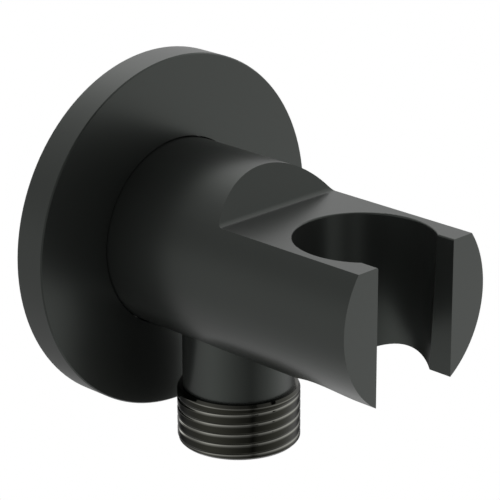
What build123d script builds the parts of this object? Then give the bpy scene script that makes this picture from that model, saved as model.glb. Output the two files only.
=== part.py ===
from build123d import *
import os
from math import radians, sqrt, tan

os.makedirs("parts", exist_ok=True)

# Wall outlet elbow with a handset cradle, in millimetres.
# The wall is the plane Y = 0, the body stands out from it along -Y, and Z is up.
# The origin is the point where the body's axis meets the wall.
# A size that ends in _out is a distance from the wall into the room (behind the wall it is negative).
# A size that ends in _down is a distance below the body's axis.

# Cover plate on the wall
flange_diameter = 61.3
flange_thickness = 5.9
flange_edge_break = 0.2
flange_rim_wall = 2.0
flange_face_wall = 1.8
flange_hub_wall = 3.2
flange_hub_setback = 0.6
flange_hole_gap = 0.2
flange_seal_cord = 1.3
flange_seal_groove_width = 1.8
flange_seal_out = 3.9

# Foam ring behind the cover plate
gasket_width = 5.0
gasket_gap = 0.15

# Body bar
body_diameter = 32.6
body_reach_out = 59.4

# Flat and leaning face milled into the top of the bar
scoop_foot_out = 29.2
scoop_lean = 27.0
scoop_corner_radius = 1.2

# Tapered cradle bore and its front slot
cradle_out = 48.6
cradle_mouth_diameter = 23.0
cradle_taper = 1.5
cradle_edge_radius = 0.3
cradle_side_wall = 1.67
slot_width = 17.6

# Outlet stub under the bar
outlet_out = 20.2
stub_diameter = 19.0
stub_end_down = 23.7
stub_thread_diameter = 16.0
stub_thread_depth = 9.0
outlet_bore_diameter = 11.0

# Waterway bored into the bar from behind
waterway_diameter = 13.0
waterway_end_out = 26.8
drill_point_angle = 118.0
bore_end_room = 0.2

# Half-inch parallel pipe thread, cut to the shallow form that shows on the outlet
thread_diameter = 20.955
thread_pitch = 1.814
thread_depth = 0.7
thread_flank_angle = 27.5
thread_root_flat = 0.18
thread_runout_width = 2.2
thread_runout_clearance = 0.15
thread_end_chamfer = 0.6
thread_lead_turns = 1

# Wall connector that the body is pushed onto
collar_back_out = 0.3
collar_thickness = 1.7
collar_diameter = 29.0
spigot_diameter = 22.0
spigot_length = 12.2
spigot_gap = 0.05
inlet_thread_length = 14.0
inlet_socket_flats = 12.0

# Rubber rings on the spigot
spigot_seal_cord = 1.8
spigot_seal_groove_width = 2.3
rear_spigot_seal_out = 4.4
front_spigot_seal_out = 12.0

# Grub screw that locks the body on the spigot
screw_out = 8.3
screw_diameter = 4.0
screw_recess = 0.8
screw_gap = 0.05
screw_point_radius = 0.3
screw_point_lift = 0.4
screw_socket_flats = 2.0
screw_socket_depth = 2.0
screw_groove_depth = 0.9

# Check valve cartridge inside the connector
valve_diameter = 14.8
valve_gap = 0.1
valve_length = 13.2
valve_end_gap = 0.05
valve_inner_diameter = 12.6
valve_seat_length = 5.0
valve_seat_lip_length = 1.0
valve_seat_lip_wall = 0.5
valve_joint_gap = 0.05
valve_inlet_diameter = 8.4
valve_seat_depth = 3.0
valve_seal_cord = 1.3
valve_seal_groove_width = 1.8
valve_seal_depth = 1.6
guide_length = 3.0
guide_diameter = 5.6
guide_bore_gap = 0.1
guide_rib_width = 1.2
guide_rib_count = 4
guide_rib_sink = 0.2

# Moving poppet, its rubber face and its spring
poppet_diameter = 10.2
poppet_thickness = 1.2
poppet_stem_diameter = 2.4
poppet_stem_length = 7.0
poppet_boss_diameter = 3.6
poppet_cap_diameter = 5.2
poppet_cap_thickness = 0.8
poppet_seal_diameter = 10.0
poppet_seal_thickness = 1.0
poppet_seal_gap = 0.02
spring_wire = 0.4
spring_diameter = 4.6
spring_turns = 4.5
spring_end_gap = 0.04

# Snap ring that keeps the cartridge in
snap_ring_thickness = 1.0
snap_ring_gap = 0.05
snap_ring_land = 0.7
snap_ring_inner_diameter = 13.4
snap_ring_groove_depth = 0.5
snap_ring_opening = 50.0

# Outlet nipple screwed up into the stub
nipple_end_down = 33.6
nipple_spigot_length = 8.0
nipple_spigot_gap = 0.05
nipple_shoulder_drop = 0.5
nipple_bore_diameter = 10.0
nipple_socket_flats = 11.0
nipple_socket_depth = 7.0
nipple_thread_lead_in = 1.96
nipple_thread_land = 1.1
nipple_washer_gap = 0.1

# How far a squeezed rubber ring stays clear of the walls that it seals
seal_relief = 0.02

# How far a cutter runs past the face that it enters or leaves
cutter_overrun = 1.0

# Values that follow from the sizes above
flange_radius = flange_diameter / 2
body_radius = body_diameter / 2
flange_hole_radius = body_radius + flange_hole_gap
body_back_out = collar_back_out + collar_thickness
spigot_radius = spigot_diameter / 2
spigot_front_out = body_back_out + spigot_length
body_bore_radius = spigot_radius + spigot_gap
body_bore_end_out = spigot_front_out + bore_end_room
waterway_radius = waterway_diameter / 2
cradle_mouth_radius = cradle_mouth_diameter / 2
flat_half_width = cradle_mouth_radius + cradle_side_wall
flat_height = sqrt(body_radius**2 - flat_half_width**2)
stub_radius = stub_diameter / 2
thread_radius = thread_diameter / 2
thread_root_radius = thread_radius - thread_depth
snap_groove_width = snap_ring_thickness + 2 * snap_ring_gap
snap_groove_front_out = spigot_front_out - snap_ring_land
snap_groove_back_out = snap_groove_front_out - snap_groove_width
valve_radius = valve_diameter / 2
valve_bore_radius = valve_radius + valve_gap
valve_front_out = snap_groove_back_out - valve_end_gap
valve_back_out = valve_front_out - valve_length
thread_end_out = collar_back_out - thread_runout_width - inlet_thread_length

# Axes and planes that the turned pieces are drawn on
body_axis = Axis.Y
outlet_axis = Axis((0, -outlet_out, 0), (0, 0, 1))
body_section = Plane(origin=(0, 0, 0), x_dir=(1, 0, 0), z_dir=(0, 0, -1))
outlet_section = Plane.XZ.offset(outlet_out)
front_view = Plane.XZ
side_view = Plane.YZ


def half_section(plane, points):
    """Straight-sided outline of half a turned piece, closed and ready to be spun."""
    with BuildSketch(plane) as outline:
        with BuildLine():
            Polyline(*points, close=True)
        make_face()
    return outline.sketch


def ring_section(plane, radius, height, cord):
    """Round section of a rubber ring, drawn beside the axis that it is spun about."""
    with BuildSketch(plane) as outline:
        with Locations((radius, height)):
            Circle(cord / 2)
    return outline.sketch


def thread_groove(start, direction, turns):
    """Long helical groove of the pipe thread, as a solid to be cut away. It begins on the +X side."""
    reach = thread_pitch * turns
    flank_slope = tan(radians(thread_flank_angle))
    proud = thread_depth / 2
    mouth = thread_root_flat / 2 + (thread_depth + proud) * flank_slope
    root = thread_root_flat / 2
    with BuildPart() as groove:
        with BuildLine() as path:
            Helix(thread_pitch, reach, thread_radius, center=start, direction=direction)
        with BuildSketch(Plane(path.line @ 0, x_dir=(1, 0, 0), z_dir=path.line % 0)):
            with BuildLine():
                Polyline(
                    (proud, -mouth),
                    (proud, mouth),
                    (-thread_depth, root),
                    (-thread_depth, -root),
                    close=True,
                )
            make_face()
        sweep(path=path.line, is_frenet=True)
    return groove.part


# Round cover plate: a shallow cup turned from brass, with a hub around the body's hole
flange_recess_out = flange_thickness - flange_face_wall
flange_hub_radius = flange_hole_radius + flange_hub_wall
flange_rim_radius = flange_radius - flange_rim_wall
flange_groove_radius = flange_hole_radius + flange_seal_cord - flange_hole_gap
flange_groove_half = flange_seal_groove_width / 2
with BuildPart() as wall_flange:
    revolve(
        half_section(
            body_section,
            [
                (flange_hole_radius, flange_thickness),
                (flange_radius - flange_edge_break, flange_thickness),
                (flange_radius, flange_thickness - flange_edge_break),
                (flange_radius, 0),
                (flange_rim_radius, 0),
                (flange_rim_radius, flange_recess_out),
                (flange_hub_radius, flange_recess_out),
                (flange_hub_radius, flange_hub_setback),
                (flange_hole_radius, flange_hub_setback),
                (flange_hole_radius, flange_seal_out - flange_groove_half),
                (flange_groove_radius, flange_seal_out - flange_groove_half),
                (flange_groove_radius, flange_seal_out + flange_groove_half),
                (flange_hole_radius, flange_seal_out + flange_groove_half),
            ],
        ),
        axis=body_axis,
    )
wall_flange.part.label = "wall_flange"

# Rubber ring in the hub, which grips the body and hides the gap
flange_ring_cord = flange_seal_cord - 2 * seal_relief
with BuildPart() as flange_ring_seal:
    ring_radius = (body_radius + flange_groove_radius) / 2
    revolve(ring_section(body_section, ring_radius, flange_seal_out, flange_ring_cord), axis=body_axis)
flange_ring_seal.part.label = "flange_ring_seal"

# Foam ring that fills the cup beside the rim and seals on the tiles
gasket_outer_radius = flange_rim_radius - gasket_gap
with BuildPart() as flange_gasket:
    with BuildSketch(front_view):
        Circle(gasket_outer_radius)
        Circle(gasket_outer_radius - gasket_width, mode=Mode.SUBTRACT)
    extrude(amount=flange_recess_out)
flange_gasket.part.label = "flange_gasket"

# Body: one brass bar with the cradle at its nose and the outlet stub underneath
scoop_top = body_radius + cutter_overrun
scoop_top_out = scoop_foot_out - (scoop_top - flat_height) * tan(radians(scoop_lean))
cradle_bottom = -body_radius - cutter_overrun
cradle_slope = tan(radians(cradle_taper))
cradle_foot_radius = cradle_mouth_radius - (flat_height - cradle_bottom) * cradle_slope
cradle_top_radius = cradle_mouth_radius + (scoop_top - flat_height) * cradle_slope
drill_point_length = waterway_radius / tan(radians(drill_point_angle / 2))
screw_hole_radius = screw_diameter / 2 + screw_gap
stub_thread_top = -stub_end_down + stub_thread_depth
nose_clear_out = body_reach_out + cutter_overrun
with BuildPart() as holder_body:
    with BuildSketch(front_view.offset(body_back_out)):
        Circle(body_radius)
    extrude(amount=body_reach_out - body_back_out)
    with BuildSketch(Plane.XY.offset(-stub_end_down)):
        with Locations((0, -outlet_out)):
            Circle(stub_radius)
    extrude(amount=stub_end_down)

    # Milled flat with its leaning back face and the cutter's corner radius
    with BuildSketch(side_view) as scoop:
        with BuildLine():
            Polyline(
                (-scoop_foot_out, flat_height),
                (-nose_clear_out, flat_height),
                (-nose_clear_out, scoop_top),
                (-scoop_top_out, scoop_top),
                close=True,
            )
        make_face()
        foot = scoop.vertices().group_by(Axis.Y)[0].sort_by(Axis.X)[-1]
        fillet(foot, scoop_corner_radius)
    extrude(amount=scoop_top, both=True, mode=Mode.SUBTRACT)

    # Tapered bore for the handset, open to the front through the slot
    with Locations((0, -cradle_out, (cradle_bottom + scoop_top) / 2)):
        Cone(cradle_foot_radius, cradle_top_radius, scoop_top - cradle_bottom, mode=Mode.SUBTRACT)
    with BuildSketch(front_view.offset(cradle_out)):
        Rectangle(slot_width, 2 * scoop_top)
    extrude(amount=nose_clear_out - cradle_out, mode=Mode.SUBTRACT)
    flat_edges = holder_body.faces().filter_by(Axis.Z).sort_by(Axis.Z)[-1].edges()
    mouth_edge = flat_edges.filter_by(GeomType.CIRCLE)
    slot_sides = flat_edges.filter_by(Axis.Y).sort_by(lambda edge: abs(edge.center().X))[:2]
    fillet(mouth_edge + slot_sides, cradle_edge_radius)

    # Stepped bore from behind: the socket for the spigot, then the waterway with its drill point
    revolve(
        half_section(
            body_section,
            [
                (0, body_back_out - cutter_overrun),
                (body_bore_radius, body_back_out - cutter_overrun),
                (body_bore_radius, body_bore_end_out),
                (waterway_radius, body_bore_end_out),
                (waterway_radius, waterway_end_out),
                (0, waterway_end_out + drill_point_length),
            ],
        ),
        axis=body_axis,
        mode=Mode.SUBTRACT,
    )

    # Outlet bore up through the stub, and the wider threaded mouth for the nipple
    with BuildSketch(Plane.XY.offset(-stub_end_down)):
        with Locations((0, -outlet_out)):
            Circle(outlet_bore_diameter / 2)
    extrude(amount=stub_end_down, mode=Mode.SUBTRACT)
    with BuildSketch(Plane.XY.offset(-stub_end_down)):
        with Locations((0, -outlet_out)):
            Circle(stub_thread_diameter / 2)
    extrude(amount=stub_thread_depth, mode=Mode.SUBTRACT)

    # Tapped hole for the grub screw, from below into the socket
    with BuildSketch(Plane.XY.offset(cradle_bottom)):
        with Locations((0, -screw_out)):
            Circle(screw_hole_radius)
    extrude(amount=-cradle_bottom, mode=Mode.SUBTRACT)
holder_body.part.label = "holder_body"

# Wall connector: thread into the wall, collar, and the spigot that carries the body
seal_groove_half = spigot_seal_groove_width / 2
seal_groove_radius = spigot_radius + spigot_gap - spigot_seal_cord
runout_radius = thread_root_radius - thread_runout_clearance
thread_start_out = collar_back_out - thread_runout_width
with BuildPart() as wall_connector:
    revolve(
        half_section(
            body_section,
            [
                (0, thread_end_out),
                (thread_radius - thread_end_chamfer, thread_end_out),
                (thread_radius, thread_end_out + thread_end_chamfer),
                (thread_radius, collar_back_out),
                (collar_diameter / 2, collar_back_out),
                (collar_diameter / 2, body_back_out),
                (spigot_radius, body_back_out),
                (spigot_radius, rear_spigot_seal_out - seal_groove_half),
                (seal_groove_radius, rear_spigot_seal_out - seal_groove_half),
                (seal_groove_radius, rear_spigot_seal_out + seal_groove_half),
                (spigot_radius, rear_spigot_seal_out + seal_groove_half),
                (spigot_radius, screw_out - screw_groove_depth),
                (spigot_radius - screw_groove_depth, screw_out),
                (spigot_radius, screw_out + screw_groove_depth),
                (spigot_radius, front_spigot_seal_out - seal_groove_half),
                (seal_groove_radius, front_spigot_seal_out - seal_groove_half),
                (seal_groove_radius, front_spigot_seal_out + seal_groove_half),
                (spigot_radius, front_spigot_seal_out + seal_groove_half),
                (spigot_radius, spigot_front_out),
                (0, spigot_front_out),
            ],
        ),
        axis=body_axis,
    )
    inlet_groove_start = (0, thread_lead_turns * thread_pitch - thread_end_out, 0)
    inlet_groove_turns = thread_lead_turns + (inlet_thread_length + thread_runout_width / 2) / thread_pitch
    add(thread_groove(inlet_groove_start, (0, -1, 0), inlet_groove_turns), mode=Mode.SUBTRACT)
    revolve(
        half_section(
            body_section,
            [
                (runout_radius, thread_start_out),
                (thread_radius + thread_depth, thread_start_out),
                (thread_radius + thread_depth, collar_back_out),
                (runout_radius, collar_back_out),
            ],
        ),
        axis=body_axis,
        mode=Mode.SUBTRACT,
    )

    # Bore for the check valve from the front, with the snap ring's groove
    snap_groove_radius = valve_bore_radius + snap_ring_groove_depth
    revolve(
        half_section(
            body_section,
            [
                (0, valve_back_out),
                (valve_bore_radius, valve_back_out),
                (valve_bore_radius, snap_groove_back_out),
                (snap_groove_radius, snap_groove_back_out),
                (snap_groove_radius, snap_groove_front_out),
                (valve_bore_radius, snap_groove_front_out),
                (valve_bore_radius, spigot_front_out + cutter_overrun),
                (0, spigot_front_out + cutter_overrun),
            ],
        ),
        axis=body_axis,
        mode=Mode.SUBTRACT,
    )

    # Hexagon socket for the fitter's key, open to the pipe
    with BuildSketch(front_view.offset(thread_end_out)):
        RegularPolygon(inlet_socket_flats / 2, 6, major_radius=False)
    extrude(amount=valve_back_out - thread_end_out, mode=Mode.SUBTRACT)
wall_connector.part.label = "wall_connector"

# Two rubber rings on the spigot, one each side of the grub screw
spigot_ring_cord = spigot_seal_cord - 2 * seal_relief
spigot_ring_radius = (seal_groove_radius + body_bore_radius) / 2
for seal_name, seal_out in (
    ("rear_spigot_seal", rear_spigot_seal_out),
    ("front_spigot_seal", front_spigot_seal_out),
):
    with BuildPart() as spigot_seal:
        revolve(ring_section(body_section, spigot_ring_radius, seal_out, spigot_ring_cord), axis=body_axis)
    spigot_seal.part.label = seal_name
    export_step(spigot_seal.part, f"parts/{seal_name}.step")

# Grub screw with a cone point in the spigot's vee groove and a socket in its outer end
screw_radius = screw_diameter / 2
screw_tip_down = spigot_radius - screw_groove_depth + screw_point_lift
screw_shoulder_down = screw_tip_down + screw_radius - screw_point_radius
screw_end_down = body_radius - screw_recess
screw_section = Plane.XZ.offset(screw_out)
with BuildPart() as grub_screw:
    revolve(
        half_section(
            screw_section,
            [
                (0, -screw_tip_down),
                (screw_point_radius, -screw_tip_down),
                (screw_radius, -screw_shoulder_down),
                (screw_radius, -screw_end_down),
                (0, -screw_end_down),
            ],
        ),
        axis=Axis((0, -screw_out, 0), (0, 0, 1)),
    )
    with BuildSketch(Plane.XY.offset(-screw_end_down)):
        with Locations((0, -screw_out)):
            RegularPolygon(screw_socket_flats / 2, 6, major_radius=False)
    extrude(amount=screw_socket_depth, mode=Mode.SUBTRACT)
grub_screw.part.label = "grub_screw"

# Check valve, inlet half: the ring with the seat, a groove for its own seal and a locating lip
valve_inner_radius = valve_inner_diameter / 2
valve_seat_out = valve_back_out + valve_seat_depth
valve_joint_out = valve_back_out + valve_seat_length
valve_lip_out = valve_joint_out + valve_seat_lip_length
valve_lip_radius = valve_inner_radius + valve_seat_lip_wall
valve_seal_out = valve_back_out + valve_seal_depth
valve_seal_half = valve_seal_groove_width / 2
valve_seal_groove_radius = valve_bore_radius - valve_seal_cord
with BuildPart() as valve_seat_ring:
    revolve(
        half_section(
            body_section,
            [
                (valve_inlet_diameter / 2, valve_back_out),
                (valve_radius, valve_back_out),
                (valve_radius, valve_seal_out - valve_seal_half),
                (valve_seal_groove_radius, valve_seal_out - valve_seal_half),
                (valve_seal_groove_radius, valve_seal_out + valve_seal_half),
                (valve_radius, valve_seal_out + valve_seal_half),
                (valve_radius, valve_joint_out),
                (valve_lip_radius, valve_joint_out),
                (valve_lip_radius, valve_lip_out),
                (valve_inner_radius, valve_lip_out),
                (valve_inner_radius, valve_seat_out),
                (valve_inlet_diameter / 2, valve_seat_out),
            ],
        ),
        axis=body_axis,
    )
valve_seat_ring.part.label = "valve_seat_ring"

# Rubber ring around the cartridge
valve_ring_cord = valve_seal_cord - 2 * seal_relief
valve_ring_radius = (valve_seal_groove_radius + valve_bore_radius) / 2
with BuildPart() as valve_ring_seal:
    revolve(ring_section(body_section, valve_ring_radius, valve_seal_out, valve_ring_cord), axis=body_axis)
valve_ring_seal.part.label = "valve_ring_seal"

# Check valve, outlet half: the sleeve with a spoked guide for the poppet's stem
guide_back_out = valve_front_out - guide_length
guide_radius = guide_diameter / 2
guide_bore_radius = poppet_stem_diameter / 2 + guide_bore_gap
cage_joint_radius = valve_lip_radius + valve_joint_gap
cage_step_out = valve_lip_out + valve_joint_gap
guide_rib_reach = valve_inner_radius + guide_rib_sink
with BuildPart() as valve_cage:
    revolve(
        half_section(
            body_section,
            [
                (cage_joint_radius, valve_joint_out),
                (valve_radius, valve_joint_out),
                (valve_radius, valve_front_out),
                (valve_inner_radius, valve_front_out),
                (valve_inner_radius, cage_step_out),
                (cage_joint_radius, cage_step_out),
            ],
        ),
        axis=body_axis,
    )
    with BuildSketch(front_view.offset(guide_back_out)):
        Circle(guide_radius)
        with PolarLocations(0, guide_rib_count):
            Rectangle(guide_rib_reach, guide_rib_width, align=(Align.MIN, Align.CENTER))
        Circle(guide_bore_radius, mode=Mode.SUBTRACT)
    extrude(amount=guide_length)
valve_cage.part.label = "valve_cage"

# Poppet: a disc with a stem in the guide, and a capped boss that holds its rubber face
poppet_face_out = valve_seat_out + poppet_seal_thickness + poppet_seal_gap
poppet_back_out = poppet_face_out + poppet_thickness
poppet_stem_out = poppet_back_out + poppet_stem_length
poppet_cap_front_out = valve_seat_out - poppet_seal_gap
poppet_cap_back_out = poppet_cap_front_out - poppet_cap_thickness
with BuildPart() as valve_poppet:
    revolve(
        half_section(
            body_section,
            [
                (0, poppet_cap_back_out),
                (poppet_boss_diameter / 2, poppet_cap_back_out),
                (poppet_cap_diameter / 2, poppet_cap_front_out),
                (poppet_boss_diameter / 2, poppet_cap_front_out),
                (poppet_boss_diameter / 2, poppet_face_out),
                (poppet_diameter / 2, poppet_face_out),
                (poppet_diameter / 2, poppet_back_out),
                (poppet_stem_diameter / 2, poppet_back_out),
                (poppet_stem_diameter / 2, poppet_stem_out),
                (0, poppet_stem_out),
            ],
        ),
        axis=body_axis,
    )
valve_poppet.part.label = "valve_poppet"

# Rubber washer on the poppet, which closes on the seat
with BuildPart() as poppet_seal:
    with BuildSketch(front_view.offset(valve_seat_out + poppet_seal_gap / 2)):
        Circle(poppet_seal_diameter / 2)
        Circle(poppet_boss_diameter / 2 + poppet_seal_gap, mode=Mode.SUBTRACT)
    extrude(amount=poppet_seal_thickness)
poppet_seal.part.label = "poppet_seal"

# Spring between the poppet's disc and the guide
spring_back_out = poppet_back_out + spring_wire / 2 + spring_end_gap
spring_front_out = guide_back_out - spring_wire / 2 - spring_end_gap
spring_height = spring_front_out - spring_back_out
with BuildPart() as valve_spring:
    with BuildLine() as coil:
        Helix(
            spring_height / spring_turns,
            spring_height,
            (spring_diameter - spring_wire) / 2,
            center=(0, -spring_back_out, 0),
            direction=(0, -1, 0),
        )
    with BuildSketch(Plane(coil.line @ 0, z_dir=coil.line % 0)):
        Circle(spring_wire / 2)
    sweep(path=coil.line, is_frenet=True)
valve_spring.part.label = "valve_spring"

# Snap ring in front of the cartridge
snap_ring_radius = snap_groove_radius - snap_ring_gap
with BuildPart() as snap_ring:
    with BuildSketch(front_view.offset(snap_groove_back_out + snap_ring_gap)):
        Circle(snap_ring_radius)
        Circle(snap_ring_inner_diameter / 2, mode=Mode.SUBTRACT)
        with Locations((0, snap_ring_radius)):
            opening_width = 2 * snap_ring_radius * tan(radians(snap_ring_opening / 2))
            Rectangle(opening_width, snap_ring_radius, mode=Mode.SUBTRACT)
    extrude(amount=snap_ring_thickness)
snap_ring.part.label = "snap_ring"

# Outlet nipple: spigot up into the stub, shoulder, and the hose thread below
nipple_spigot_radius = stub_thread_diameter / 2 - nipple_spigot_gap
nipple_spigot_top = -stub_end_down + nipple_spigot_length
nipple_shoulder_radius = stub_radius
with BuildPart() as outlet_nipple:
    revolve(
        half_section(
            outlet_section,
            [
                (nipple_bore_diameter / 2, nipple_spigot_top),
                (nipple_spigot_radius, nipple_spigot_top),
                (nipple_spigot_radius, -stub_end_down),
                (nipple_shoulder_radius, -stub_end_down),
                (thread_radius, -stub_end_down - nipple_shoulder_drop),
                (thread_radius, -nipple_end_down + thread_end_chamfer),
                (thread_radius - thread_end_chamfer, -nipple_end_down),
                (nipple_bore_diameter / 2, -nipple_end_down),
            ],
        ),
        axis=outlet_axis,
    )
    outlet_groove_foot = -nipple_end_down - nipple_thread_lead_in
    outlet_groove_turns = (-stub_end_down - nipple_thread_land - outlet_groove_foot) / thread_pitch
    outlet_groove_start = (0, -outlet_out, outlet_groove_foot)
    add(thread_groove(outlet_groove_start, (0, 0, 1), outlet_groove_turns), mode=Mode.SUBTRACT)
    with BuildSketch(Plane.XY.offset(-nipple_end_down)):
        with Locations((0, -outlet_out)):
            RegularPolygon(nipple_socket_flats / 2, 6, major_radius=False)
    extrude(amount=nipple_socket_depth, mode=Mode.SUBTRACT)
outlet_nipple.part.label = "outlet_nipple"

# Flat washer squeezed between the nipple's top and the end of its threaded mouth
with BuildPart() as nipple_washer:
    with BuildSketch(Plane.XY.offset(nipple_spigot_top)):
        with Locations((0, -outlet_out)):
            Circle(nipple_spigot_radius - nipple_washer_gap)
            Circle(outlet_bore_diameter / 2 + nipple_washer_gap, mode=Mode.SUBTRACT)
    extrude(amount=stub_thread_top - nipple_spigot_top)
nipple_washer.part.label = "nipple_washer"

# One file for each piece
for piece in (
    wall_flange,
    flange_ring_seal,
    flange_gasket,
    holder_body,
    wall_connector,
    grub_screw,
    valve_seat_ring,
    valve_ring_seal,
    valve_cage,
    valve_poppet,
    poppet_seal,
    valve_spring,
    snap_ring,
    outlet_nipple,
    nipple_washer,
):
    export_step(piece.part, f"parts/{piece.part.label}.step")
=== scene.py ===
# %% [markdown]
# # A matt black wall outlet elbow
#
# This notebook dresses a finished CAD model of a shower's wall outlet: a round plate on the
# wall, a thick bar with a cradle for the handset, and a threaded outlet for the hose. The CAD
# model already has every solid at its real size, so nothing is moved here. What is left to do
# is the finish of each surface, the small roundings that catch the light, and the picture.
#
# The first cell loads the imported model.

# %% Load the imported model
from math import cos, pi, radians, sin

import bpy
import numpy as np
from mathutils import Matrix, Vector


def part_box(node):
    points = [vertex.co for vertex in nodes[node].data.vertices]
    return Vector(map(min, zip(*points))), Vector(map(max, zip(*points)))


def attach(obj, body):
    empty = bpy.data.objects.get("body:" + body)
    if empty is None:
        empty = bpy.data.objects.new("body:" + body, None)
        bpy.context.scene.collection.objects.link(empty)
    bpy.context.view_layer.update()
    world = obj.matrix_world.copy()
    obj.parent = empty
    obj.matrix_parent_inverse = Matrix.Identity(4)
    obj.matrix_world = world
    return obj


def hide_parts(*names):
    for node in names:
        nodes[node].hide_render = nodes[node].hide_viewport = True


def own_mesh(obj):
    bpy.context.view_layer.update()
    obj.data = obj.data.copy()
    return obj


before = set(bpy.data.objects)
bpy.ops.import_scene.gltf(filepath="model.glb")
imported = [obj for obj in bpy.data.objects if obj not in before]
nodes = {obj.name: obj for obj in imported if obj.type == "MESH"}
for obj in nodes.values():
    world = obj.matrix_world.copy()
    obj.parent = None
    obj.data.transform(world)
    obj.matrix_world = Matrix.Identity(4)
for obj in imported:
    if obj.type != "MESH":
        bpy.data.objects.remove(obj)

bpy.context.view_layer.update()
print("loaded", len(nodes), "CAD nodes")

# %% [markdown]
# ## Sizes
#
# Blender works in metres, and a fitting is drawn in millimetres, so one name turns the one into
# the other. Each size that the CAD box can give is read from it. The others are the drawing's
# own numbers, each written once.

# %% Sizes of the elbow
mm = 0.001
plate_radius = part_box("wall_flange")[1].x
bar_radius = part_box("holder_body")[1].x
nipple_low, nipple_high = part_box("outlet_nipple")
nipple_radius = nipple_high.x
outlet_y = (nipple_low.y + nipple_high.y) / 2
nipple_foot_z = nipple_low.z
stub_end_z = -23.7 * mm
print("plate", round(2 * plate_radius / mm, 1), "mm across")
print("bar", round(2 * bar_radius / mm, 1), "mm across")

# %% [markdown]
# ## Camera
#
# The camera stands in front, to the left and a little above, as the photographer's did, and far
# away with a long lens, so that the far rim of the plate looks hardly smaller than the near one.
# It could be aimed by a constraint, but the photo is also turned by a fifth of a degree. So the
# camera is placed by the angles from which it looks at a point on the bar. Those three
# directions, right, up and back, are the columns of its rotation matrix.

# %% Camera at the photographer's angle
camera_azimuth = radians(-44.89)
camera_elevation = radians(20.10)
camera_roll = radians(-0.19)
camera_distance = 400.3 * mm
camera_lens_mm = 174.87
camera_film_mm = 36
nearest_seen = 10 * mm
look_at = Vector((0, -25 * mm, 0))
look_right = -1.40 * mm
look_up = 1.26 * mm

back = Vector(
    (
        sin(camera_azimuth) * cos(camera_elevation),
        -cos(camera_azimuth) * cos(camera_elevation),
        sin(camera_elevation),
    )
)
level_right = Vector((cos(camera_azimuth), sin(camera_azimuth), 0))
level_up = back.cross(level_right)
right = level_right * cos(camera_roll) + level_up * sin(camera_roll)
up = level_up * cos(camera_roll) - level_right * sin(camera_roll)

camera_data = bpy.data.cameras.new("studio_camera")
camera_data.lens = camera_lens_mm
camera_data.sensor_width = camera_film_mm
camera_data.clip_start = nearest_seen
camera = bpy.data.objects.new("studio_camera", camera_data)
bpy.context.scene.collection.objects.link(camera)
camera.matrix_world = Matrix.Translation(
    look_at + level_right * look_right + level_up * look_up + back * camera_distance
) @ Matrix((right, up, back)).transposed().to_4x4()
bpy.context.scene.camera = camera
print("camera at", [round(place / mm) for place in camera.location], "mm")

# %% [markdown]
# ## Shader maths as plain expressions
#
# A finish is a small graph of nodes. Wiring each Math node by hand hides what is worked out, so
# a socket is wrapped in a class that understands + - * and /. An expression such as
# 1 - mask * 0.3 then adds its own Math nodes. Every other kind of node comes from one method,
# and three short ones use it for what most finishes need: a noise, a bump and a blend.


# %% A small language for finishes
class Signal:
    """An output socket that can be used in sums. Each operator adds one Math node."""

    def __init__(self, finish, socket):
        self.finish = finish
        self.socket = socket

    def _maths(self, operation, first, second):
        return self.finish.node("ShaderNodeMath", {"operation": operation}, {0: first, 1: second})

    def __add__(self, other):
        return self._maths("ADD", self, other)

    def __sub__(self, other):
        return self._maths("SUBTRACT", self, other)

    def __rsub__(self, other):
        return self._maths("SUBTRACT", other, self)

    def __mul__(self, other):
        return self._maths("MULTIPLY", self, other)

    def __truediv__(self, other):
        return self._maths("DIVIDE", self, other)

    __radd__ = __add__
    __rmul__ = __mul__


class Finish:
    """A material whose nodes are added by kind, with settings first and then socket values."""

    def __init__(self, name):
        self.material = bpy.data.materials.new(name)
        self.material.use_nodes = True
        self.tree = self.material.node_tree
        self.surface = self.tree.nodes["Principled BSDF"]

    def node(self, kind, settings=None, sockets=None, output=0):
        """Adds one node, and gives back one of its outputs."""
        made = self.tree.nodes.new(kind)
        for name, value in (settings or {}).items():
            setattr(made, name, value)
        for name, value in (sockets or {}).items():
            self._feed(made.inputs[name], value)
        return Signal(self, made.outputs[output])

    def noise(self, scale, detail):
        """A cloudy value from 0 to 1, with about as many clouds to a metre as the scale says."""
        place = self.node("ShaderNodeTexCoord", output="Object")
        sockets = {"Vector": place, "Scale": scale, "Detail": detail}
        return self.node("ShaderNodeTexNoise", sockets=sockets)

    def bump(self, height, strength, depth):
        """A surface direction, tilted by the slope of the height. A height of 1 is the depth."""
        sockets = {"Strength": strength, "Distance": depth, "Height": height}
        return self.node("ShaderNodeBump", sockets=sockets, output="Normal")

    def blend(self, share, first, second):
        """A colour that goes from the first to the second as the share goes from 0 to 1."""
        sockets = {"Factor": share, "A": (*first, 1), "B": (*second, 1)}
        return self.node("ShaderNodeMix", {"data_type": "RGBA"}, sockets, output="Result")

    def set(self, **values):
        """Feeds the sockets of the surface shader. An underscore stands for a space."""
        for name, value in values.items():
            self._feed(self.surface.inputs[name.replace("_", " ")], value)

    def _feed(self, socket, value):
        if isinstance(value, Signal):
            self.tree.links.new(value.socket, socket)
        else:
            socket.default_value = value


print("finishes can now be written as expressions")

# %% [markdown]
# ## Satin black coat
#
# The plate and the bar have a baked black coat. It isn't flat black: it has a fine orange peel
# that spreads each reflection, and its gloss and colour drift a little from place to place. One
# even black would do from afar, but close up it looks like plastic. A fine noise drives a bump
# for the peel, and a coarse one moves the roughness and the colour. Both read Object
# coordinates, which are metres here, so a scale of 1500 means bumps of about 0.7 mm.
#
# The roughness stays above 0.274. Below that the denoiser takes a surface for a mirror, and
# where the drift crossed that step it drew faint patches.

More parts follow.
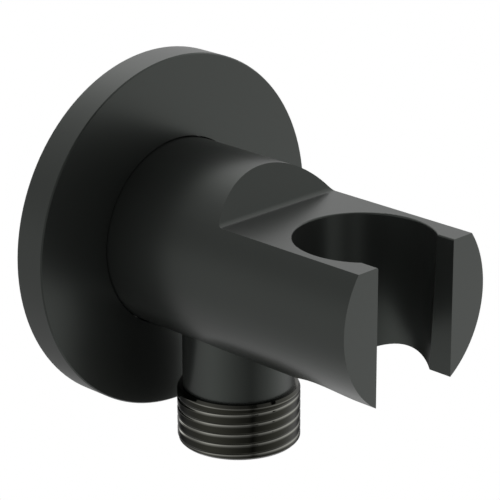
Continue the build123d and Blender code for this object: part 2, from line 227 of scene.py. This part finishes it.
# %% Numbers of the coat
coat_deep_black = (0.0117, 0.0126, 0.0118)
coat_pale_black = (0.0141, 0.0152, 0.0143)
coat_roughness = 0.276
coat_roughness_drift = 0.02
coat_reflection = 0.385
coat_reflection_tint = (0.91, 1.0, 0.92, 1)
peel_depth = 0.04 * mm
print("coat roughness", coat_roughness, "to", round(coat_roughness + coat_roughness_drift, 3))


# %% Satin black coat
def satin_black():
    """Two near blacks, blended by a slow noise, under the bumps of a fine one."""
    finish = Finish("satin_black_coat")
    drift = finish.noise(scale=60.0, detail=2.0)
    peel = finish.noise(scale=1500.0, detail=2.0)
    finish.set(
        Base_Color=finish.blend(drift, coat_deep_black, coat_pale_black),
        Roughness=coat_roughness + coat_roughness_drift * drift,
        Specular_IOR_Level=coat_reflection,
        Specular_Tint=coat_reflection_tint,
        Normal=finish.bump(peel, strength=0.06, depth=peel_depth),
    )
    return finish.material


satin_black_coat = satin_black()
print("made", satin_black_coat.name)

# %% [markdown]
# ## Glossy black plating
#
# The nipple is plated, not painted: it is darker and shinier than the bar, with a faint olive cast.
# That is a metal whose colour is dark. Its thread shows thin bright lines where it catches the
# light. Bright lamps could draw them as glints, but those would move with the camera. So they are a
# painted highlight: the colour is blended to a pale metal by a share that each point of the nipple
# carries. A noise in the roughness smudges the gloss.

# %% Numbers of the plating
plating_black = (0.020, 0.020, 0.016)
# The pale metal of the painted highlight on the thread.
highlight_pale_metal = (0.40, 0.40, 0.36)
plating_roughness = 0.05
plating_smudge = 0.06
print("plating roughness", plating_roughness, "to", round(plating_roughness + plating_smudge, 3))


# %% Glossy black plating
def black_plating():
    """Dark metal, blended to pale metal by the share of painted highlight that the mesh carries."""
    finish = Finish("black_plating")
    smudge = finish.noise(scale=220.0, detail=3.0)
    # The painted highlight, a share from 0 to 1 that each point of the nipple carries.
    painted_highlight = finish.node("ShaderNodeAttribute", {"attribute_name": "painted_highlight"}, output="Fac")
    finish.set(
        Base_Color=finish.blend(painted_highlight, plating_black, highlight_pale_metal),
        Metallic=1.0,
        Roughness=plating_roughness + plating_smudge * smudge,
    )
    return finish.material


black_plated = black_plating()
print("made", black_plated.name)

# %% [markdown]
# ## Finishes of the hidden pieces
#
# Behind the plate the metal is bare. A lathe leaves fine rings on turned brass and steel, which
# could be cut into the mesh, but are far finer than its faces, so a wave of the distance along
# the axis drives a bump. Rubber is dull with a fine grain, foam has open pores, and moulded
# plastic is nearly smooth. Those three are one recipe with other numbers.


# %% Bare metal from a lathe
def turned_metal(name, colour, roughness, ring_width):
    """Rings of the height sin(2 pi y / ring width + ring wobble x haze). The haze is a noise from
    0 to 1, which also dulls the metal and tarnishes it."""
    ring_wobble = 2.0
    haze_roughness = 0.12
    tarnish = 0.2
    finish = Finish(name)
    place = finish.node("ShaderNodeTexCoord", output="Object")
    along_axis = finish.node("ShaderNodeSeparateXYZ", sockets={"Vector": place}, output="Y")
    haze = finish.noise(scale=300.0, detail=3.0)
    phase = along_axis * (2 * pi / ring_width) + haze * ring_wobble
    rings = finish.node("ShaderNodeMath", {"operation": "SINE"}, {0: phase})
    tarnished = [(1 - tarnish) * part for part in colour]
    finish.set(
        Base_Color=finish.blend(haze, colour, tarnished),
        Metallic=1.0,
        Roughness=roughness + haze_roughness * haze,
        Normal=finish.bump(rings, strength=0.25, depth=0.01 * mm),
    )
    return finish.material


bare_brass = turned_metal("bare_brass", (0.80, 0.59, 0.29), roughness=0.22, ring_width=0.12 * mm)
bare_steel = turned_metal("bare_steel", (0.58, 0.58, 0.59), roughness=0.24, ring_width=0.10 * mm)
print("made", bare_brass.name, "and", bare_steel.name)


# %% Plastic, rubber and foam
def moulded(name, colour, roughness, grain_scale, grain_depth):
    """A noise of the given scale is the height of a bump. In its low places, the pores, the colour
    is darker, a painted shade, and on its high places the surface is duller."""
    pore_shade_darkness = 0.3
    grain_roughness = 0.1
    finish = Finish(name)
    grain = finish.noise(scale=grain_scale, detail=3.0)
    # The pores' colour is a painted shade, darker where the grain is low.
    painted_pore_shade = [(1 - pore_shade_darkness) * part for part in colour]
    finish.set(
        Base_Color=finish.blend(grain, painted_pore_shade, colour),
        Roughness=roughness + grain_roughness * grain,
        Normal=finish.bump(grain, strength=0.5, depth=grain_depth),
    )
    return finish.material


white_plastic = moulded(
    "white_plastic", (0.80, 0.81, 0.78), roughness=0.38, grain_scale=900.0, grain_depth=0.01 * mm
)
blue_plastic = moulded(
    "blue_plastic", (0.06, 0.19, 0.47), roughness=0.36, grain_scale=900.0, grain_depth=0.01 * mm
)
black_rubber = moulded(
    "black_rubber", (0.021, 0.021, 0.021), roughness=0.62, grain_scale=1800.0, grain_depth=0.02 * mm
)
grey_foam = moulded(
    "grey_foam", (0.088, 0.088, 0.092), roughness=0.85, grain_scale=1100.0, grain_depth=0.25 * mm
)
print("made", white_plastic.name, blue_plastic.name, black_rubber.name, "and", grey_foam.name)

# %% [markdown]
# ## Dress the CAD nodes
#
# A CAD node whose shape is right only needs its material slots filled. Each finish is matched to
# the nodes that are made of it. The nipple and the valve's spring aren't in the list, because
# new pieces take their place below.

# %% Give every CAD node its finish
finish_of = {
    satin_black_coat: ["holder_body", "wall_flange"],
    bare_brass: ["wall_connector"],
    bare_steel: ["grub_screw", "snap_ring"],
    white_plastic: ["valve_seat_ring", "valve_cage"],
    blue_plastic: ["valve_poppet"],
    black_rubber: [
        "poppet_seal",
        "valve_ring_seal",
        "rear_spigot_seal",
        "front_spigot_seal",
        "flange_ring_seal",
        "nipple_washer",
    ],
    grey_foam: ["flange_gasket"],
}
for finish, members in finish_of.items():
    for name in members:
        for slot in nodes[name].material_slots:
            slot.material = finish
print("dressed", sum(len(members) for members in finish_of.values()), "of", len(nodes), "nodes")

# %% [markdown]
# ## The outlet nipple and its thread
#
# On the real nipple the thread is a groove in a smooth cylinder, so the lands between its turns
# stay wide and flat, and every edge is a little rounded. Those roundings are what the eye sees:
# each one draws a thin line. The CAD solid has sharp edges that no light can catch, and a Bevel
# modifier rounds badly between a CAD mesh's long thin triangles, so this piece is made again as
# a surface. Its outside is one radius for each angle and height: a turned blank, less a groove
# that climbs one pitch in each turn. Where two shapes meet, a soft minimum rounds the corner.
# The thread's height, hand and pitch are the CAD model's own. Its groove is shallower, because
# from above a deep one hides the lower flank that shows as a bright line in the photo.

# %% Sizes of the thread
thread_pitch = 1.814 * mm
groove_half_mouth = 0.34 * mm
groove_depth = 0.22 * mm
groove_slope = 0.7
groove_foot_z = nipple_foot_z - 1.96 * mm
groove_top_z = stub_end_z - 1.1 * mm
groove_turns = (groove_top_z - groove_foot_z) / thread_pitch
run_out_turns = 0.12
shoulder_radius = 10.12 * mm
shoulder_drop = 0.6 * mm
foot_chamfer = 0.45 * mm
edge_blend = 0.14 * mm
print("the groove climbs", round(groove_turns, 2), "turns")


# %% The blank and the groove
def soft_minimum(first, second, blend):
    """The lower of two lengths, less a parabola where they differ by under the blend length."""
    closeness = np.maximum(blend - np.abs(first - second), 0) / blend
    return np.minimum(first, second) - closeness**2 * blend / 4


def blank_radius(z):
    """The nipple before its thread is cut. It is the least of three radii: the cylinder, a
    shoulder that slopes in towards the stub, and a chamfer of 45 degrees at the foot."""
    slope = (nipple_radius - shoulder_radius) / shoulder_drop
    shoulder = shoulder_radius + (stub_end_z - z) * slope
    chamfer = nipple_radius - foot_chamfer + (z - nipple_foot_z)
    return soft_minimum(soft_minimum(nipple_radius, shoulder, edge_blend), chamfer, edge_blend)


def groove_at(angle, z):
    """The groove's depth at a point, and how far the point lies over the groove's middle, which
    is at foot + pitch x turns. The depth is slope x the distance in from the mouth's edge, at
    most the full depth, and over the last part of a turn it falls to nothing."""
    part_turn = angle / (2 * pi)
    turns_so_far = np.round((z - groove_foot_z) / thread_pitch - part_turn) + part_turn
    over_middle = z - groove_foot_z - thread_pitch * turns_so_far
    in_from_edge = -soft_minimum(np.abs(over_middle) - groove_half_mouth, 0, edge_blend)
    run_out = np.clip((groove_turns - turns_so_far) / run_out_turns, 0, 1)
    depth = soft_minimum(in_from_edge * groove_slope, groove_depth, edge_blend) * run_out
    return depth, over_middle


third_turn_z = groove_foot_z + 3 * thread_pitch
root_radius = blank_radius(third_turn_z) - groove_at(0.0, third_turn_z)[0]
print("radius at the groove's root", round(float(root_radius) / mm, 3), "mm")

# %% [markdown]
# The lower flanks of the thread and the edge of the shoulder are paler where they catch the light,
# and this is a painted highlight. A mask could be painted by hand, but the highlight follows the
# groove, so it is worked out from the same distances.

# %% Where the highlight is painted on the thread
flank_blend = 0.12 * mm
full_highlight_depth = groove_depth / 1.5
highlight_edge_width = 0.07 * mm
flank_highlight = 0.6
edge_highlight = 0.30
shoulder_highlight = 0.06


def painted_highlight_share(depth, over_middle, z):
    """From 0, black, to 1, pale metal: the share of painted highlight. The lower flank's share grows
    with the depth. It stops at the groove's middle and above the foot's chamfer. The edge's is a
    bell, edge highlight x e to the power of -(distance over the edge / width) squared, with a little
    painted highlight on all the shoulder."""
    under_middle = np.clip(0.5 - over_middle / flank_blend, 0, 1)
    above_chamfer = np.clip((z - nipple_foot_z) / foot_chamfer - 1, 0, 1)
    lower_flank = np.clip(depth / full_highlight_depth, 0, 1) * under_middle * above_chamfer
    over_edge = (z - stub_end_z + shoulder_drop) / highlight_edge_width
    highlit_edge = edge_highlight * np.exp(-(over_edge**2)) + shoulder_highlight * (over_edge > 0)
    return np.maximum(flank_highlight * lower_flank, highlit_edge)


print("a lower flank is", round(100 * flank_highlight), "percent worn")

# %% [markdown]
# The whole nipple is one closed loop of rows, each a ring of points about the outlet's axis: out
# of the bore over the spigot in the stub, down the threaded outside, in under the foot, up the
# hexagon socket and back to the bore. Joining the last row to the first closes the surface. An
# edge that turns by more than 50 degrees stays sharp, and all others are shaded smooth.

# %% Meshes from arrays
sharp_angle = radians(50)


def new_piece(name, points, faces):
    """An object at the origin, whose mesh has the points of an array and the given faces."""
    mesh = bpy.data.meshes.new(name)
    mesh.from_pydata(points.reshape(-1, 3), [], faces)
    mesh.shade_smooth()
    mesh.set_sharp_from_angle(angle=sharp_angle)
    piece = bpy.data.objects.new(name, mesh)
    bpy.context.scene.collection.objects.link(piece)
    return piece


def ringed_surface(name, radius, z, centre_y):
    """Rows of rings about an upright axis. A point is (radius cos angle, centre y + radius sin
    angle, z), and the radii have one row for each z and one column for each angle."""
    rows, columns = radius.shape
    angle = np.arange(columns) * 2 * pi / columns
    height = np.broadcast_to(z[:, None], radius.shape)
    east = radius * np.cos(angle)
    north = centre_y + radius * np.sin(angle)
    index = np.arange(rows * columns).reshape(rows, columns)
    below = np.roll(index, -1, axis=0)
    beside = np.roll(index, -1, axis=1)
    below_beside = np.roll(below, -1, axis=1)
    corners = np.stack([index, below, below_beside, beside], axis=-1)
    return new_piece(name, np.stack([east, north, height], axis=-1), corners.reshape(-1, 4))


def hexagon_radius(angle, flats):
    """Distance from the axis to a hexagon: half its flats / cos(angle from the nearest flat)."""
    return flats / 2 / np.cos(angle % (pi / 3) - pi / 6)


print("meshes can now be made from arrays")

# %% The nipple's rows of rings
ring_columns = 240
row_height = 0.04 * mm
bore_radius = 5.0 * mm
spigot_radius = 7.95 * mm
spigot_length = 8.0 * mm
socket_flats = 11.0 * mm
socket_depth = 7.0 * mm
spigot_top_z = stub_end_z + spigot_length
socket_top_z = nipple_foot_z + socket_depth
ring_angle = np.arange(ring_columns) * 2 * pi / ring_columns

outside_rows = round((stub_end_z - nipple_foot_z) / row_height)
outside_z = np.linspace(stub_end_z, nipple_foot_z, outside_rows)
outside_groove, over_middle = groove_at(ring_angle, outside_z[:, None])
outside = blank_radius(outside_z[:, None]) - outside_groove
# The painted highlight on the thread's lower flanks and along the shoulder's edge.
outside_highlight = painted_highlight_share(outside_groove, over_middle, outside_z[:, None])

bore = np.full(ring_columns, bore_radius)
spigot = np.full(ring_columns, spigot_radius)
socket = hexagon_radius(ring_angle, socket_flats)
no_highlight = np.zeros(ring_columns)
ring_radius = np.vstack([bore, spigot, spigot, outside, socket, socket, bore])
ring_highlight = np.vstack([no_highlight, no_highlight, no_highlight, outside_highlight, no_highlight, no_highlight, no_highlight])
ring_z = np.concatenate(
    [
        [spigot_top_z, spigot_top_z, stub_end_z],
        outside_z,
        [nipple_foot_z, socket_top_z, socket_top_z],
    ]
)
print(len(ring_z), "rows of", ring_columns, "points")

# %% The nipple
nipple = ringed_surface("turned_nipple", ring_radius, ring_z, outlet_y)
# Each point carries its share of the painted highlight, which the plating reads.
painted_highlight = nipple.data.attributes.new("painted_highlight", "FLOAT", "POINT")
painted_highlight.data.foreach_set("value", ring_highlight.ravel())
nipple.data.materials.append(black_plated)
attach(nipple, "fixed")
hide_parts("outlet_nipple")
print("nipple has", 2 * len(nipple.data.polygons), "triangles")

# %% [markdown]
# ## The spring of the check valve
#
# Inside the bar a small valve keeps used water out of the wall. When water flows, its poppet slides
# back and presses a spring together. A CAD node is rigid, and the poppet would run through it. The
# spring is made again here as a piece of its own, at the CAD model's length. A curve with a bevel
# could make the wire too. As arrays, its turns and its ends are exactly the CAD model's: its wire is
# a circle carried along a helix.

# %% A wire on a helix
rings_per_turn = 32
points_per_ring = 12


def coiled_wire(name, coil_radius, wire_radius, start_y, end_y, turns):
    """At way t from 0 to 1 the wire's middle is (R cos a, start + (end - start) t, R sin a),
    where a is turns x t full circles from straight below. Each ring round it is middle + r
    (outwards cos b + sideways sin b) for b round a full circle. A face closes each end."""
    rings = round(turns * rings_per_turn) + 1
    t = np.linspace(0, 1, rings)
    a = 2 * pi * turns * t - pi / 2
    b = np.arange(points_per_ring) * 2 * pi / points_per_ring
    outwards = np.stack([np.cos(a), 0 * a, np.sin(a)], axis=-1)
    on_axis = np.stack([0 * t, start_y + (end_y - start_y) * t, 0 * t], axis=-1)
    middle = on_axis + coil_radius * outwards
    along = np.gradient(middle, axis=0)
    along /= np.linalg.norm(along, axis=-1, keepdims=True)
    sideways = np.cross(along, outwards)
    spoke = outwards[:, None] * np.cos(b)[:, None] + sideways[:, None] * np.sin(b)[:, None]
    points = middle[:, None] + wire_radius * spoke
    index = np.arange(rings * points_per_ring).reshape(rings, points_per_ring)
    beside = np.roll(index, -1, axis=1)
    sides = np.stack([index[:-1], beside[:-1], beside[1:], index[1:]], axis=-1).reshape(-1, 4)
    ends = [index[0, ::-1].tolist(), index[-1].tolist()]
    return new_piece(name, points, [*sides.tolist(), *ends])


print("a turn of wire has", rings_per_turn, "rings of", points_per_ring, "points")

# %% The spring
wire_radius = 0.2 * mm
spring_turns = 4.5
spring_low, spring_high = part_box("valve_spring")
spring = coiled_wire(
    "coiled_spring",
    coil_radius=spring_high.x - wire_radius,
    wire_radius=wire_radius,
    start_y=spring_high.y - wire_radius,
    end_y=spring_low.y + wire_radius,
    turns=spring_turns,
)
spring.data.materials.append(bare_steel)
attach(spring, "fixed")
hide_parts("valve_spring")
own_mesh(spring)

# %% [markdown]
# ## Floor
#
# The photo has a plain white background with no horizon. A small pale floor lies well below the
# elbow, so that its shadow stays out of the picture. A lit floor is never as white as the
# background, and its edge would show. So Light Path tells the material which kind of ray is
# asking: the camera, and rays that come by way of gloss or glass, see plain white paper, and
# only the dull light that the floor throws back is that of a pale grey board.

# %% Floor
floor_drop = 260 * mm
floor_reach = 180 * mm
floor_grey = 0.85
floor_roughness = 0.9
floor_outline = np.array([(-1, -1), (1, -1), (1, 1), (-1, 1)]) * floor_reach
floor_level = np.full(len(floor_outline), -floor_drop)
floor_corners = np.column_stack([floor_outline, floor_level])
floor = new_piece("studio_floor", floor_corners, [(0, 1, 2, 3)])
print("floor", round(floor_drop / mm), "mm below the wall axis")

# %% Floor finish
pale_floor = Finish("pale_floor")
pale_floor.set(Base_Color=(floor_grey, floor_grey, floor_grey, 1), Roughness=floor_roughness)
to_camera = pale_floor.node("ShaderNodeLightPath", output="Is Camera Ray")
in_gloss = pale_floor.node("ShaderNodeLightPath", output="Is Glossy Ray")
through_glass = pale_floor.node("ShaderNodeLightPath", output="Is Transmission Ray")
shown_white = to_camera + in_gloss + through_glass
board = Signal(pale_floor, pale_floor.surface.outputs["BSDF"])
paper = pale_floor.node("ShaderNodeEmission", sockets={"Color": (1, 1, 1, 1), "Strength": 1.0})
either = pale_floor.node("ShaderNodeMixShader", sockets={0: shown_white, 1: board, 2: paper})
surface_end = pale_floor.tree.nodes["Material Output"].inputs["Surface"]
pale_floor.tree.links.new(either.socket, surface_end)
floor.data.materials.append(pale_floor.material)
print("made", pale_floor.material.name)

# %% [markdown]
# ## A studio made of soft light
#
# A black object is seen by what it mirrors, so the shape of the light matters more than its
# amount. Lamps could give that shape, but each would show as a hard patch in the glossy nipple.
# A world can fade from one tone to the next, so the studio is one world shader.
#
# Each place of the elbow mirrors mostly one direction, and its brightness in the photo tells how
# bright the studio is over there. Plain walls give the general light. Soft sources brighten some
# directions, shades darken others, and a narrow dark gap, in front and a little to the left,
# draws the upright stripe on the stub and the nipple. Only the camera sees plain white. If
# reflections saw it too, the coat would be one even grey.


# %% A world that takes the same nodes
class Sky(Finish):
    """A world whose nodes are added in the same way as a material's."""

    def __init__(self, name):
        self.world = bpy.data.worlds.new(name)
        self.world.use_nodes = True
        self.tree = self.world.node_tree
        self.surface = self.tree.nodes["Background"]


sky = Sky("studio_world")
bpy.context.scene.world = sky.world
heading = sky.node("ShaderNodeTexCoord", output="Generated")
print("made", sky.world.name)


# %% Sources and shades, each a direction, an amount and a spread
def lobe(towards, amount, spread):
    """A soft spot: amount x exp((cosine of the angle from its middle - 1) / spread)."""
    middle = Vector(towards).normalized()
    turned = sky.node(
        "ShaderNodeVectorMath", {"operation": "DOT_PRODUCT"}, {0: heading, 1: middle}, output="Value"
    )
    falloff = sky.node("ShaderNodeMath", {"operation": "EXPONENT"}, {0: (turned - 1) / spread})
    return amount * falloff


walls = 0.80
soft_sources = {
    "high behind on the right": ((0.35, 0.60, 0.72), 1.20, 0.10),
    "straight behind": ((0.00, 1.00, 0.10), 4.50, 0.025),
    "low in front on the right": ((0.72, -0.58, -0.38), 0.65, 0.20),
    "high on the right": ((0.80, -0.15, 0.50), 1.00, 0.06),
    "level on the left": ((-0.95, 0.25, 0.05), 0.50, 0.08),
    "low on the left": ((-0.86, 0.10, -0.34), 0.45, 0.20),
    "below behind": ((-0.24, 0.66, -0.71), 0.65, 0.06),
}
shades = {
    "low in front": ((-0.35, -0.87, -0.34), 0.55, 0.14),
    "above in front": ((-0.30, -0.64, 0.71), 0.75, 0.22),
    "low behind": ((0.0, 0.91, -0.42), 0.92, 0.20),
    "low on the right": ((0.90, 0.26, -0.36), 0.92, 0.08),
    "behind on the left": ((-0.68, 0.665, 0.30), 0.35, 0.05),
}
studio = walls
for towards, amount, spread in soft_sources.values():
    studio = studio + lobe(towards, amount, spread)
for towards, amount, spread in shades.values():
    studio = studio * (1 - lobe(towards, amount, spread))
print("the world holds", len(soft_sources), "soft sources and", len(shades), "shades")

# %% The gap, and what the camera sees
gap_azimuth = radians(-19)
gap_width = radians(6)
gap_darkness = 0.6
camera_white = 1.0
across = sky.node("ShaderNodeSeparateXYZ", sockets={"Vector": heading}, output="X")
away = sky.node("ShaderNodeSeparateXYZ", sockets={"Vector": heading}, output="Y")
azimuth = sky.node("ShaderNodeMath", {"operation": "ARCTAN2"}, {0: across, 1: -1 * away})
off_gap = (azimuth - gap_azimuth) / gap_width
gap = sky.node("ShaderNodeMath", {"operation": "EXPONENT"}, {0: -1 * off_gap * off_gap})
studio = studio * (1 - gap_darkness * gap)
by_camera = sky.node("ShaderNodeLightPath", output="Is Camera Ray")
strength = sky.node("ShaderNodeMix", sockets={"Factor": by_camera, "A": studio, "B": camera_white})
sky.set(Color=(1, 1, 1, 1), Strength=strength)
print("the gap is", round(2 * gap_width / radians(1)), "degrees wide")

# %% [markdown]
# ## One lamp
#
# A studio has a large softbox overhead. As a part of the world it would have no place of its
# own, so this one is an area lamp. It is weak, and adds a little light to what faces up.

# %% Softbox overhead
softbox_place = Vector((0.1, -0.2, 0.6))
softbox_side = 0.5
softbox_watts = 0.4
bar_middle = Vector((0, -30 * mm, 0))
softbox_data = bpy.data.lights.new("top_softbox", "AREA")
softbox_data.shape = "SQUARE"
softbox_data.size = softbox_side
softbox_data.energy = softbox_watts
softbox = bpy.data.objects.new("top_softbox", softbox_data)
bpy.context.scene.collection.objects.link(softbox)
softbox.location = softbox_place
softbox.rotation_euler = (bar_middle - softbox_place).to_track_quat("-Z", "Y").to_euler()
print("lamp", round((softbox_place - bar_middle).length / mm), "mm from the bar")

# %% [markdown]
# ## Colour management
#
# The Standard view shows a written colour as it is.

bpy.context.scene.view_settings.view_transform = "Standard"
bpy.context.view_layer.update()
